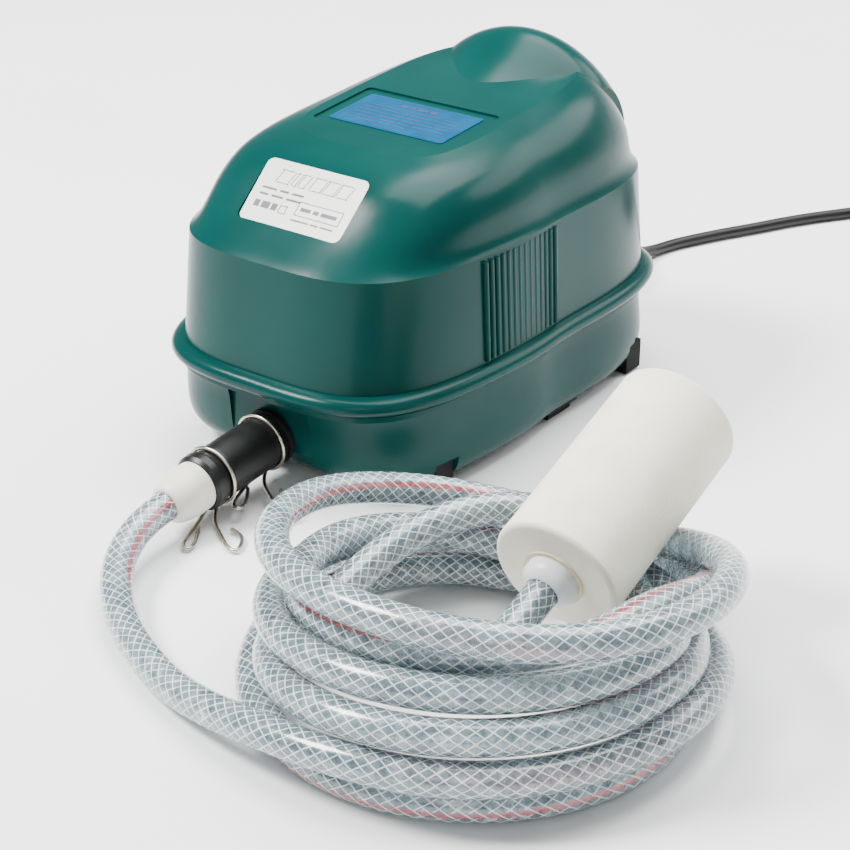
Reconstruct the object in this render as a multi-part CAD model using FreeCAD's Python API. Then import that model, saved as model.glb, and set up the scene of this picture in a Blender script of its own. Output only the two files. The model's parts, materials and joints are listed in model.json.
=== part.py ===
"""Linear diaphragm air pump for a pond, with its hose, air stone and mains lead.

Millimetres, +Z up. The outlet faces -Y and the mains lead leaves at +Y. The origin is the
centre of the pump's footprint on the surface it stands on.
"""
import FreeCAD
import Part
import math
import os

V = FreeCAD.Vector
X_AXIS = V(1, 0, 0)
Y_AXIS = V(0, 1, 0)
Z_AXIS = V(0, 0, 1)

# ---- driving dimensions: casing -------------------------------------------------------
WALL = 2.8
TUB_BOTTOM = 6.1
TUB_FLOOR = 9.1
TUB_TOP = 41.3
SEAL = 1.0
COVER_BOTTOM = TUB_TOP + SEAL
RIDGE_Z = 94.5               # soft step round the cover
TOP_SLOPE = 0.08             # the top face rises towards the rear
PLAN_POINTS = 28             # points that each plan curve is drawn through

# half width, front, rear, exponents of the front and rear halves, z, slope along Y
TUB_STATIONS = [
    (63.8, -91.0, 100.0, 4.6, 4.5, 6.1, 0.0),
    (65.4, -94.3, 102.5, 4.6, 4.5, 8.6, 0.0),
    (66.6, -99.3, 104.2, 4.6, 4.5, 24.0, 0.0),
    (67.0, -104.0, 106.4, 4.2, 4.3, TUB_TOP, 0.0),
]
BEAD_STATIONS = [
    (68.8, -108.0, 108.0, 3.5, 4.0, COVER_BOTTOM, 0.0),
    (71.2, -110.4, 110.4, 3.5, 4.0, 43.4, 0.0),
    (72.0, -111.2, 111.2, 3.5, 4.0, 45.8, 0.0),
    (70.8, -110.0, 110.0, 3.5, 4.0, 48.2, 0.0),
    (67.6, -106.6, 106.8, 3.5, 4.0, 49.6, 0.0),
]
SKIRT_STATIONS = [
    (67.6, -106.6, 106.8, 3.5, 4.0, COVER_BOTTOM, 0.0),
    (65.2, -101.0, 102.5, 3.5, 3.9, RIDGE_Z, 0.0),
]
CROWN_STATIONS = [
    (65.2, -101.0, 102.5, 3.5, 3.9, RIDGE_Z, 0.0),
    (63.5, -98.0, 100.6, 3.5, 3.8, 97.2, 0.005),
    (62.4, -87.0, 97.6, 3.7, 3.7, 106.0, 0.02),
    (59.5, -76.5, 93.6, 4.0, 3.6, 115.5, 0.035),
    (53.4, -67.5, 88.6, 4.3, 3.6, 123.3, 0.05),
    (46.5, -57.5, 83.6, 4.2, 3.8, 128.0, 0.065),
    (39.5, -45.0, 79.0, 3.8, 4.0, 130.4, TOP_SLOPE),
]
# y, height of the crest: the arched hump over the rear of the top
HUMP_STATIONS = [(30.0, 130.5), (44.0, 135.5), (58.0, 142.0), (70.0, 147.6), (79.0, 147.4),
                 (88.0, 141.5), (95.0, 129.0)]
HUMP_RADIUS = 53.0
HUMP_HALF_WIDTH = 41.0
HUMP_BASE = 100.0

# ---- labels, ribs, feet ---------------------------------------------------------------
TOP_LABEL = (58.0, 30.0)
TOP_RECESS = (68.2, 38.9)
TOP_RECESS_Y = -9.3
FRONT_LABEL = (51.0, 28.5)
FRONT_LABEL_CENTRE = V(0, -75.3, 113.4)
FRONT_LABEL_ANGLE = 42.0
LABEL_THICK = 0.3
RIB_COUNT = 14
RIB_FIRST_Y = -43.5
RIB_PITCH = 3.7
RIB_BOTTOM = 51.0
RIB_TOP = 92.5
NOTCH_FRONT = (57.5, -66.0)
NOTCH_REAR = (58.5, 77.0)
NOTCH_SIZE = (16.0, 12.0)
NOTCH_TOP = 14.6
FOOT_FLUSH = 62.4            # half distance over the corner feet
MID_FOOT = (55.5, 20.0)

# ---- outlet, hose and stone -----------------------------------------------------------
OUTLET = V(0, -98.2, 19.8)
OUTLET_TILT = 4.6            # degrees that the outlet droops
NIPPLE_R = 7.5
SLEEVE_R = 11.0
CLAMP_WIRE = 0.8             # radius of the clamps' wire
HOSE_R = 6.0
STONE_R = 23.3
STONE_LENGTH = 85.0
STONE_NEAR = V(170.0, -150.8, 40.0)
STONE_AXIS = V(-0.027, 0.95, 0.31)
COIL_CENTRE = V(153.0, -166.0, 0)
COIL_OUTER = (84.0, 88.0)
COIL_INNER = (46.0, 40.0)
COIL_FRONT_TOP = 58.0
COIL_BACK_TOP = 34.0

EAR_RIGHT = [(4.7, -7.0), (17.8, -15.7), (23.9, -19.7), (28.2, -20.4), (28.0, -17.0), (24.5, -11.5),
             (20.4, -8.9), (15.9, -8.4)]
EAR_LEFT = [(0.8, -9.0), (6.4, -24.2), (9.7, -29.4), (12.6, -30.3), (13.0, -27.5), (10.1, -21.5),
            (4.6, -14.9)]

# ---- mains lead -----------------------------------------------------------------------
CORD_R = 2.8
GLAND = V(0, 104.2, 24.0)
GLAND_TAIL = 30.0
REEL_CENTRE = V(104.0, 322.0, 0)
REEL_OUTER = 37.5
REEL_INNER = 19.5
REEL_TOP = 11.4

# ---- works ----------------------------------------------------------------------------
AXIS_Z = 62.0
FRAME_Z = 25.0
HEAD_Y = 54.0
HEAD_HALF = 31.0


def place(shape, name):
    shape.exportStep("parts/%s.step" % name)
    solids = shape.Solids
    print("%-18s solids %2d volume %10.1f valid %s" % (name, len(solids), shape.Volume, shape.isValid()))


def box(x1, x2, y1, y2, z1, z2):
    return Part.makeBox(x2 - x1, y2 - y1, z2 - z1, V(x1, y1, z1))


def rod(radius, start, end):
    along = end.sub(start)
    return Part.makeCylinder(radius, along.Length, start, along)


def fuse(shapes):
    if len(shapes) == 1:
        return shapes[0]
    return shapes[0].multiFuse(shapes[1:]).removeSplitter()


def compound(shapes):
    return Part.makeCompound(shapes)


# ---- casing shapes --------------------------------------------------------------------
def plan_wire(station, inset=0.0):
    """Closed superellipse curve at one level, inset all round."""
    half, front, rear, n_front, n_rear, z, slope = station
    points = []
    for k in range(PLAN_POINTS):
        turn = 2 * math.pi * k / PLAN_POINTS
        c = math.cos(turn)
        s = math.sin(turn)
        n = n_front if s < 0 else n_rear
        reach = (-front if s < 0 else rear) - inset
        x = math.copysign(abs(c) ** (2 / n), c) * (half - inset)
        y = math.copysign(abs(s) ** (2 / n), s) * reach
        points.append(V(x, y, z + slope * y))
    curve = Part.BSplineCurve()
    curve.interpolate(Points=points, PeriodicFlag=True)
    return Part.Wire([curve.toShape()])


def stack(stations, inset=0.0, ruled=False):
    return Part.makeLoft([plan_wire(s, inset) for s in stations], True, ruled)


def shifted(stations, drop):
    return [s[:5] + (s[5] - drop,) + s[6:] for s in stations]


def hump(inset=0.0):
    """Arch whose crest rises towards the rear and rounds over at its end."""
    wires = []
    radius = HUMP_RADIUS - inset
    half = HUMP_HALF_WIDTH - inset
    for y, crest in HUMP_STATIONS:
        top = crest - inset
        edge = top - radius + math.sqrt(radius ** 2 - half ** 2)
        depth = y - inset if y > 85 else y
        left = V(-half, depth, edge)
        right = V(half, depth, edge)
        low_left = V(-half, depth, HUMP_BASE)
        low_right = V(half, depth, HUMP_BASE)
        wires.append(Part.Wire([
            Part.Arc(left, V(0, depth, top), right).toShape(),
            Part.LineSegment(right, low_right).toShape(),
            Part.LineSegment(low_right, low_left).toShape(),
            Part.LineSegment(low_left, left).toShape(),
        ]))
    return Part.makeLoft(wires, True, False)


def wall_x(z):
    """Half width of the cover's skirt at a height."""
    low = SKIRT_STATIONS[0]
    high = SKIRT_STATIONS[1]
    share = (z - low[5]) / (high[5] - low[5])
    return low[0] + share * (high[0] - low[0])


def ribs(side):
    """Upright ribs of the grip patch on one side of the cover."""
    made = []
    for k in range(RIB_COUNT):
        y = RIB_FIRST_Y + k * RIB_PITCH
        low = V(side * (wall_x(RIB_BOTTOM) - 0.45), y, RIB_BOTTOM)
        high = V(side * (wall_x(RIB_TOP) - 0.45), y, RIB_TOP)
        made.append(rod(1.25, low, high))
    return made


def label_frame(shape, centre, angle):
    """Lay a shape drawn about the origin onto a face that tilts back by an angle."""
    shape.rotate(V(0, 0, 0), X_AXIS, angle)
    shape.translate(centre)
    return shape


def rounded_plate(width, depth, low, high, corner):
    plate = box(-width / 2, width / 2, -depth / 2, depth / 2, low, high)
    upright = [e for e in plate.Edges if abs(e.Vertexes[0].X - e.Vertexes[1].X) < 1e-6
               and abs(e.Vertexes[0].Y - e.Vertexes[1].Y) < 1e-6]
    return plate.makeFillet(corner, upright)


TOP_ANGLE = math.degrees(math.atan(TOP_SLOPE))
TOP_LABEL_CENTRE = V(0, TOP_RECESS_Y, CROWN_STATIONS[-1][5] + TOP_SLOPE * TOP_RECESS_Y)
SCREW_SPOTS = [(41.0, -86.0), (-41.0, -86.0), (41.0, 86.0), (-41.0, 86.0)]


def make_cover():
    outer = fuse([stack(SKIRT_STATIONS, ruled=True), stack(BEAD_STATIONS), stack(CROWN_STATIONS),
                  hump()] + ribs(1) + ribs(-1))
    recess = label_frame(rounded_plate(*TOP_RECESS, -0.8, 3.0, 2.5), TOP_LABEL_CENTRE, TOP_ANGLE)
    pocket = label_frame(rounded_plate(FRONT_LABEL[0] + 0.6, FRONT_LABEL[1] + 0.6, -0.9, 6.0, 3.0),
                         FRONT_LABEL_CENTRE, FRONT_LABEL_ANGLE)
    outer = outer.cut(recess).cut(pocket)
    low = SKIRT_STATIONS[0][:5] + (COVER_BOTTOM - 1.0, 0.0)
    cavity = fuse([stack([low, SKIRT_STATIONS[1]], WALL, True),
                   stack(shifted(CROWN_STATIONS, WALL), WALL), hump(WALL)])
    shell = outer.cut(cavity)
    posts = []
    for x, y in SCREW_SPOTS:
        side = math.copysign(1, x)
        end = math.copysign(1, y)
        post = rod(4.5, V(x, y, COVER_BOTTOM), V(x, y, 62.0))
        web_x = box(min(x, x + side * 11), max(x, x + side * 11), y - 1.4, y + 1.4, COVER_BOTTOM, 60.0)
        web_y = box(x - 1.4, x + 1.4, min(y, y + end * 12), max(y, y + end * 12), COVER_BOTTOM, 60.0)
        posts.append(fuse([post, web_x, web_y]).common(outer))
    shell = fuse([shell] + posts)
    for x, y in SCREW_SPOTS:
        shell = shell.cut(rod(1.99, V(x, y, COVER_BOTTOM - 1), V(x, y, 56.0)))
    return shell


def outlet_frame(shape):
    """Tilt a shape drawn along -Y from the origin onto the outlet's axis."""
    shape.rotate(V(0, 0, 0), X_AXIS, OUTLET_TILT)
    shape.translate(OUTLET)
    return shape


def outlet_point(y, z=0.0, x=0.0):
    tilt = math.radians(OUTLET_TILT)
    return V(x, OUTLET.y + y * math.cos(tilt) - z * math.sin(tilt),
             OUTLET.z + y * math.sin(tilt) + z * math.cos(tilt))


def notch_box(spot, grow=0.0, top=NOTCH_TOP):
    x, y = spot
    half_x = NOTCH_SIZE[0] / 2 + grow
    half_y = NOTCH_SIZE[1] / 2 + grow
    return box(x - half_x, x + half_x, y - half_y, y + half_y, 0.0, top + grow)


def notch_spots():
    made = []
    for x, y in (NOTCH_FRONT, NOTCH_REAR):
        made.append((x, y))
        made.append((-x, y))
    return made


def make_tub():
    lip = stack([(68.2, -106.6, 107.4, 3.7, 4.1, TUB_TOP - 2.2, 0.0),
                 (68.2, -106.6, 107.4, 3.7, 4.1, TUB_TOP, 0.0)], 0.0, True)
    solid = stack(TUB_STATIONS).fuse(lip)
    inner = [TUB_STATIONS[1][:5] + (TUB_FLOOR, 0.0), TUB_STATIONS[2],
             TUB_STATIONS[3][:5] + (TUB_TOP + 0.5, 0.0)]
    room = stack(inner, WALL)
    keep = [box(-24.0, 24.0, -120.0, -94.2, 0, TUB_TOP + 9)]
    keep += [rod(4.5, V(x, y, 0), V(x, y, TUB_TOP + 9)) for x, y in SCREW_SPOTS]
    keep += [notch_box(s, 2.0) for s in notch_spots()]
    keep.append(rod(25.0, V(0, 0, 0), V(0, 0, 20.0)).cut(rod(23.0, V(0, 0, 0), V(0, 0, 30.0))))
    for piece in keep:
        room = room.cut(piece)
    solid = solid.cut(room)
    cuts = [notch_box(s) for s in notch_spots()]
    cuts.append(box(-20.7, 20.7, -125.0, OUTLET.y, 11.0, TUB_TOP - 3.0))
    cuts.append(rod(22.3, V(0, 0, 0), V(0, 0, TUB_FLOOR + 0.5)))
    cuts.append(outlet_frame(rod(NIPPLE_R + 2.0, V(0, -20, 0), V(0, 20, 0))))
    cuts.append(rod(5.5, GLAND.add(V(0, -15, 0)), GLAND.add(V(0, 15, 0))))
    for x, y in SCREW_SPOTS:
        cuts.append(rod(2.1, V(x, y, 0), V(x, y, TUB_TOP + 1)))
        cuts.append(rod(4.2, V(x, y, 0), V(x, y, 11.0)))
    for side in (1, -1):
        x = side * MID_FOOT[0]
        cuts.append(rod(3.0, V(x, MID_FOOT[1], 0), V(x, MID_FOOT[1], 9.0)))
    for cut in cuts:
        solid = solid.cut(cut)
    return solid


def make_seal():
    ring = [(66.4, -103.8, 106.2, 3.5, 4.0, z, 0.0) for z in (TUB_TOP, COVER_BOTTOM)]
    return stack(ring, 0.2, True).cut(stack(ring, 2.3, True))


def make_feet():
    feet = []
    for x, y in notch_spots():
        block = notch_box((x, y), -0.3, NOTCH_TOP).common(box(-FOOT_FLUSH, FOOT_FLUSH, -120, 120, -1, 30))
        feet.append(block.makeFillet(1.5, [e for e in block.Edges if e.BoundBox.ZMax < 0.1]))
    for side in (1, -1):
        x = side * MID_FOOT[0]
        y = MID_FOOT[1]
        flange = box(x - 6.5, x + 6.5, y - 11.0, y + 11.0, 4.1, TUB_BOTTOM)
        pad = box(x - 5.0, x + 5.0, y - 9.0, y + 8.0, 0.0, 4.1)
        pad = pad.makeFillet(1.8, [e for e in pad.Edges if e.BoundBox.ZMax < 0.1])
        feet.append(fuse([flange, pad, rod(2.9, V(x, y, 4.0), V(x, y, 8.9))]))
    return compound(feet)


def make_screws(spots, low, high, head_r, head_h, shank_r):
    made = []
    for x, y in spots:
        head = rod(head_r, V(x, y, low), V(x, y, low + head_h))
        made.append(head.fuse(rod(shank_r, V(x, y, low), V(x, y, high))).cut(
            box(x - 2.5, x + 2.5, y - 0.5, y + 0.5, low - 1, low + 1.2)))
    return compound(made)


def make_filter_cap():
    cap = rod(22.0, V(0, 0, 5.2), V(0, 0, TUB_FLOOR))
    for k in range(-3, 4):
        half = math.sqrt(18.0 ** 2 - (k * 5.0) ** 2)
        cap = cap.cut(box(-half, half, k * 5.0 - 1.2, k * 5.0 + 1.2, 0, 20))
    return cap


# ---- outlet pieces --------------------------------------------------------------------
def make_manifold():
    body = box(-28.0, 28.0, -88.5, -64.0, TUB_FLOOR, 26.0).cut(box(-25.5, 25.5, -86.0, -66.5, 12.5, 23.5))
    nipple = outlet_frame(rod(NIPPLE_R, V(0, -12.4, 0), V(0, 11.0, 0)))
    bore = outlet_frame(rod(NIPPLE_R - 2.0, V(0, -25, 0), V(0, 16.0, 0)))
    inlet = rod(4.5, V(12, -75, 20), V(12, -75, 30))
    side = rod(3.5, V(20, -78, 17.4), V(35, -78, 17.4))
    return fuse([body, nipple]).cut(bore).cut(inlet).cut(side)


def make_grommet():
    body = outlet_frame(rod(NIPPLE_R + 1.95, V(0, -2.2, 0), V(0, 4.0, 0)))
    flange = outlet_frame(rod(NIPPLE_R + 4.5, V(0, -2.6, 0), V(0, -1.0, 0)))
    hole = outlet_frame(rod(NIPPLE_R + 0.05, V(0, -30, 0), V(0, 30, 0)))
    clear = box(-20, 20, OUTLET.y, -60, 0, 40)
    return fuse([body.common(clear), flange.cut(clear)]).cut(hole)


def turned(profile):
    """Solid of revolution about the outlet's axis from (distance out, radius) points."""
    points = [V(0, -d, r) for d, r in profile]
    points.append(points[0])
    face = Part.Face(Part.makePolygon(points))
    return outlet_frame(face.revolve(V(0, 0, 0), Y_AXIS, 360))


def make_sleeve():
    return turned([(3.2, NIPPLE_R + 0.05), (3.2, SLEEVE_R), (33.5, SLEEVE_R), (35.0, 10.6),
                   (37.0, 10.9), (40.5, 11.9), (43.5, 11.7), (45.0, 10.6), (45.0, NIPPLE_R + 0.05)])


def wire_rod(points, radius):
    """Bent wire: straight pieces with a ball at every bend."""
    pieces = []
    for start, end in zip(points, points[1:]):
        pieces.append(rod(radius, start, end))
        pieces.append(Part.makeSphere(radius, end))
    return fuse(pieces)


def make_clamp(out, ear_z):
    """Sprung wire clamp: one ring, with two ears that lie forward as open loops."""
    ring_r = SLEEVE_R + CLAMP_WIRE + 0.05
    ring = outlet_frame(Part.makeTorus(ring_r, CLAMP_WIRE, V(0, -out, 0), Y_AXIS))
    ears = []
    for ear, side in ((EAR_RIGHT, 1), (EAR_LEFT, -1)):
        root = outlet_point(-out, -ring_r * math.cos(0.15), side * ring_r * math.sin(0.15))
        points = [root] + [V(x, root.y + y, ear_z) for x, y in ear]
        ears.append(wire_rod(points, CLAMP_WIRE))
    return fuse([ring] + ears)


def make_adapter():
    profile = [(28.0, 4.0), (28.0, NIPPLE_R), (45.0, NIPPLE_R), (45.2, 10.2)]
    for k in range(0, 10):
        turn = math.radians(10 * k)
        swell = (10.3 - HOSE_R) * math.cos(turn)
        profile.append((50.0 + 12.5 * math.sin(turn), HOSE_R + 0.1 + swell))
    profile += [(56.0, HOSE_R + 0.1), (56.0, 4.0)]
    return turned(profile)


# ---- cords ----------------------------------------------------------------------------
def cord_path(name, points):
    """Straight runs joined by tangent arcs, each as large as its two runs allow."""
    edges = []
    radii = []
    last = points[0]
    for before, at, after in zip(points, points[1:], points[2:]):
        run_in = before.sub(at)
        run_out = after.sub(at)
        turn = math.pi - run_in.getAngle(run_out)
        back = 0.45 * min(run_in.Length, run_out.Length)
        radii.append(back / math.tan(turn / 2))
        unit_in = V(run_in).normalize()
        unit_out = V(run_out).normalize()
        start = at.add(V(unit_in).multiply(back))
        end = at.add(V(unit_out).multiply(back))
        bisector = unit_in.add(unit_out).normalize()
        reach = radii[-1] / math.cos(turn / 2) - radii[-1]
        middle = at.add(bisector.multiply(reach))
        edges.append(Part.LineSegment(last, start).toShape())
        edges.append(Part.Arc(start, middle, end).toShape())
        last = end
    edges.append(Part.LineSegment(last, points[-1]).toShape())
    wire = Part.Wire(edges)
    print("%-18s radii %s length %.1f" % (name, " ".join("%.0f" % r for r in radii), wire.Length))
    return wire


def cord_tube(name, points, radius):
    wire = cord_path(name, points)
    start = Part.Wire([Part.makeCircle(radius, points[0], points[1].sub(points[0]))])
    tube = wire.makePipeShell([start], True, False)
    expected = math.pi * radius ** 2 * wire.Length
    print("%-18s volume %.0f of %.0f" % (name, tube.Volume, expected))
    return tube


HOSE_LEAD = [outlet_point(-56.0), outlet_point(-68.5), V(2.8, -181.8, 12.6), V(10.4, -197.2, 10.2),
             V(23.5, -211.6, 8.4), V(40.5, -223.8, 7.2), V(60.0, -233.2, 6.6), V(79.5, -240.6, 7.2),
             V(99.0, -245.3, 10.0), V(117.5, -248.6, 13.6), V(131.0, -249.4, 15.8)]
HOSE_TAIL = [V(170.2, -157.6, 37.8), V(170.5, -169.5, 33.9), V(168.9, -182.4, 30.1), V(164.7, -195.3, 26.9),
             V(158.1, -207.2, 24.6)]
REAR_TUBE = [V(31, 75, 48), V(41, 74, 47.6), V(49, 67, 43), V(53, 55, 35), V(54.2, 39, 26.5),
             V(54.4, 18, 22.6), V(54.5, -12, 22.3), V(53.6, -40, 22.3), V(49.0, -60, 22.2),
             V(40.0, -72.5, 19.6), V(28, -77.5, 17.4)]
INNER_LEAD = [V(0, 97.6, 24.0), V(0, 94.0, 24.0), V(2.4, 91.2, 21.6), V(6.6, 90.6, 17.4),
              V(10, 90.8, 15.6), V(14, 90.8, 15.6)]
CORD_RUN = [V(0, 137.4, 24.0), V(0, 149.0, 24.0), V(-0.8, 162.0, 20.2), V(-2.0, 175.0, 13.4),
            V(-2.8, 188.5, 6.4), V(-2.7, 203.0, 3.1), V(0.4, 217.0, 2.9), V(6.2, 230.5, 2.9),
            V(13.6, 246.0, 2.9), V(22.4, 262.0, 2.9), V(30.6, 279.0, 2.9), V(40.0, 295.5, 2.9),
            V(50.6, 311.0, 2.9), V(61.0, 326.5, 2.9), V(73.4, 340.5, 3.2)]
CORD_TAIL = [V(107.7, 356.8, 9.0), V(121.0, 354.8, 8.7), V(134.5, 351.0, 8.0), V(147.5, 346.8, 7.2),
             V(160.0, 342.7, 6.7)]
PLUG_HEADING = -18.2
PLUG_ENTRY = CORD_TAIL[-1]


def plug_frame(shape):
    """Turn a shape drawn along +X from the origin onto the plug's axis."""
    shape.rotate(V(0, 0, 0), Z_AXIS, PLUG_HEADING)
    shape.translate(PLUG_ENTRY)
    return shape


def make_plug():
    rings = []
    for x, half_w, half_h in ((0.0, 4.2, 4.2), (10.0, 6.0, 5.0), (16.0, 11.5, 6.2), (24.0, 12.6, 6.7),
                              (36.0, 12.6, 6.7)):
        corners = [V(x, -half_w, -half_h), V(x, half_w, -half_h),
                   V(x, half_w, half_h), V(x, -half_w, half_h)]
        rings.append(Part.makePolygon(corners + [corners[0]]))
    body = Part.makeLoft(rings, True, True)
    for side in (1, -1):
        body = body.cut(rod(2.0, V(30.0, side * 9.5, 0), V(40.0, side * 9.5, 0)))
    return plug_frame(body)


def make_pins():
    pins = []
    for side in (1, -1):
        pins.append(rod(2.0, V(30.0, side * 9.5, 0), V(55.0, side * 9.5, 0)))
    return plug_frame(compound(pins))


def ellipse_prism(centre, half_x, half_y, low, high):
    prism = Part.makeCylinder(1.0, high - low)
    scale = FreeCAD.Matrix()
    scale.scale(V(half_x, half_y, 1.0))
    prism = prism.transformGeometry(scale)
    prism.translate(V(centre.x, centre.y, low))
    return prism


def stone_rod(radius, start, end):
    unit = V(STONE_AXIS).normalize()
    return rod(radius, STONE_NEAR.add(V(unit).multiply(start)), STONE_NEAR.add(V(unit).multiply(end)))


def make_hose_coil():
    ring = ellipse_prism(COIL_CENTRE, *COIL_OUTER, 0.0, COIL_FRONT_TOP)
    ring = ring.cut(ellipse_prism(COIL_CENTRE, *COIL_INNER, -1.0, COIL_FRONT_TOP + 1))
    back = COIL_CENTRE.y + COIL_OUTER[1]
    front = COIL_CENTRE.y - 40.0
    x1 = COIL_CENTRE.x - 100
    side = Part.makePolygon([V(x1, front, COIL_FRONT_TOP), V(x1, back, COIL_BACK_TOP), V(x1, back, 90),
                             V(x1, front, 90), V(x1, front, COIL_FRONT_TOP)])
    ring = ring.cut(Part.Face(side).extrude(V(200, 0, 0)))
    return ring.cut(stone_rod(STONE_R + 0.6, -30.0, STONE_LENGTH + 20))


def make_stone():
    body = stone_rod(STONE_R, 0.0, STONE_LENGTH)
    rims = [e for e in body.Edges if isinstance(e.Curve, Part.Circle)]
    return body.makeFillet(2.0, rims).cut(stone_rod(11.3, -1.0, 22.0))


def make_stone_seal():
    return stone_rod(11.3, -0.8, 4.0).cut(stone_rod(9.8, -1.0, 5.0))


def make_connector():
    body = stone_rod(9.8, -3.0, 22.0)
    dome = Part.makeSphere(9.8)
    squash = FreeCAD.Matrix()
    squash.scale(V(1.0, 1.0, 0.62))
    dome = dome.transformGeometry(squash)
    turn = FreeCAD.Rotation(Z_AXIS, STONE_AXIS)
    unit = V(STONE_AXIS).normalize()
    dome.Placement = FreeCAD.Placement(STONE_NEAR.add(V(unit).multiply(-3.0)), turn)
    body = body.fuse(dome).removeSplitter()
    return body.cut(stone_rod(HOSE_R + 0.1, -20.0, -7.0)).cut(stone_rod(4.0, -20.0, 30.0))


def make_reel():
    ring = rod(REEL_OUTER, REEL_CENTRE.add(V(0, 0, 0.6)), REEL_CENTRE.add(V(0, 0, REEL_TOP + 0.6)))
    return ring.cut(rod(REEL_INNER, REEL_CENTRE.sub(V(0, 0, 1)), REEL_CENTRE.add(V(0, 0, 30))))


def make_tie():
    band = box(REEL_INNER - 1.0, REEL_OUTER + 0.9, -2.5, 2.5, 0.0, REEL_TOP + 1.3)
    band = band.cut(box(REEL_INNER - 0.25, REEL_OUTER + 0.1, -3, 3, 0.6, REEL_TOP + 0.6))
    band.rotate(V(0, 0, 0), Z_AXIS, -60)
    band.translate(REEL_CENTRE)
    return band


def make_gland():
    out = GLAND.add(V(0, 3.2, 0))
    flange = rod(8.5, GLAND.add(V(0, 1.3, 0)), out)
    neck = rod(5.4, GLAND.add(V(0, -6, 0)), GLAND.add(V(0, 1.4, 0)))
    nut = rod(7.5, GLAND.add(V(0, -6.6, 0)), GLAND.add(V(0, -4.3, 0)))
    tail = Part.makeCone(5.6, 3.7, GLAND_TAIL, out, Y_AXIS)
    body = fuse([flange, neck, nut, tail])
    for k in range(5):
        at = out.add(V(0, 6.0 + 4.6 * k, 0))
        radius = 5.6 - 1.9 * (6.0 + 4.6 * k) / GLAND_TAIL
        body = body.cut(rod(9.0, at, at.add(V(0, 1.4, 0))).cut(rod(radius - 0.9, at, at.add(V(0, 1.4, 0)))))
    return body


# ---- shapes inside the casing -----------------------------------------------------------
FRAME_SPOTS = [(38.0, 40.0), (-38.0, 40.0), (38.0, -40.0), (-38.0, -40.0)]
CORE_SPOTS = [(35.0, 25.0), (35.0, -25.0), (-35.0, 25.0), (-35.0, -25.0)]
HEAD_SPOTS = [(27.5, 33.8), (-27.5, 33.8), (27.5, 90.2), (-27.5, 90.2)]
VALVE_X = 12.0
FLAP_TOP = AXIS_Z + 8.0
FLAP_SIZE = (12.0, 16.0, 0.8)


def along_y(radius, y1, y2, x=0.0, z=AXIS_Z):
    return rod(radius, V(x, min(y1, y2), z), V(x, max(y1, y2), z))


def slab(x1, x2, y1, y2, z1, z2):
    return box(x1, x2, min(y1, y2), max(y1, y2), z1, z2)


def make_frame():
    pieces = [box(-46, 46, -52, 52, FRAME_Z, FRAME_Z + 3)]
    for side in (1, -1):
        end = slab(-36, 36, side * 48, side * 52, FRAME_Z, AXIS_Z + 35)
        pieces.append(end.cut(along_y(24.0, -60, 60)))
        pieces.append(slab(min(side * 30.5, side * 42), max(side * 30.5, side * 42), -29, 29, FRAME_Z, 49))
    body = fuse(pieces)
    for x, y in FRAME_SPOTS:
        body = body.cut(rod(2.2, V(x, y, 20), V(x, y, 33)))
        body = body.cut(rod(6.0, V(x, y, FRAME_Z + 3), V(x, y, FRAME_Z + 14)))
    for x, y in CORE_SPOTS:
        body = body.cut(rod(2.0, V(x, y, 36), V(x, y, 60)))
    for x, z in HEAD_SPOTS:
        body = body.cut(along_y(1.75, -60, 60, x, z))
    return body


def make_mounts():
    return compound([rod(6.5, V(x, y, TUB_FLOOR), V(x, y, FRAME_Z)).cut(rod(2.0, V(x, y, 14), V(x, y, 30)))
                     for x, y in FRAME_SPOTS])


def make_frame_screws():
    made = []
    for x, y in FRAME_SPOTS:
        shank = rod(2.0, V(x, y, 14.0), V(x, y, FRAME_Z + 3))
        made.append(shank.fuse(rod(4.0, V(x, y, FRAME_Z + 3), V(x, y, FRAME_Z + 6))))
    return compound(made)


def make_cores():
    made = []
    for side in (1, -1):
        pieces = [slab(min(side * 30, side * 40), max(side * 30, side * 40), -30, 30, 49, 75)]
        for y1, y2 in ((-30, -20), (-9, 9), (20, 30)):
            pieces.append(slab(min(side * 8, side * 31), max(side * 8, side * 31), y1, y2, 49, 75))
        made.append(fuse(pieces))
    core = compound(made)
    for x, y in CORE_SPOTS:
        core = core.cut(rod(2.1, V(x, y, 40), V(x, y, 80)))
    return core


def make_core_bolts():
    return compound([rod(1.98, V(x, y, 37), V(x, y, 75)).fuse(rod(3.5, V(x, y, 75), V(x, y, 78)))
                     for x, y in CORE_SPOTS])


def mirrored_x(low, high, side):
    return (low, high) if side > 0 else (-high, -low)


def make_bobbins():
    made = []
    for side in (1, -1):
        tube = slab(*mirrored_x(9, 29, side), -10.5, 10.5, 47.5, 76.5)
        cheek_in = slab(*mirrored_x(9, 10.5, side), -19.5, 19.5, 39, 85)
        cheek_out = slab(*mirrored_x(27.5, 29, side), -19.5, 19.5, 39, 85)
        hole = slab(*mirrored_x(5, 35, side), -9.05, 9.05, 48.95, 75.05)
        made.append(fuse([tube, cheek_in, cheek_out]).cut(hole))
    return compound(made)


def make_windings():
    made = []
    for side in (1, -1):
        coil = slab(*mirrored_x(10.5, 27.5, side), -18.5, 18.5, 40, 84)
        coil = coil.makeFillet(4.0, [e for e in coil.Edges if e.BoundBox.XLength > 16])
        made.append(coil.cut(slab(*mirrored_x(5, 35, side), -10.5, 10.5, 47.5, 76.5)))
    return compound(made)


MAGNET_YS = ((6.0, 21.0), (-21.0, -6.0))


def make_carrier():
    body = box(-6.5, 6.5, -26, 26, 49, 75)
    for y1, y2 in MAGNET_YS:
        body = body.cut(box(-7, 7, y1, y2, 51.5, 72.5))
    return body.cut(along_y(2.5, -60, 60))


def make_magnets():
    return compound([box(-6.2, 6.2, y1, y2, 51.5, 72.5).cut(along_y(2.5, -60, 60)) for y1, y2 in MAGNET_YS])


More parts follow.
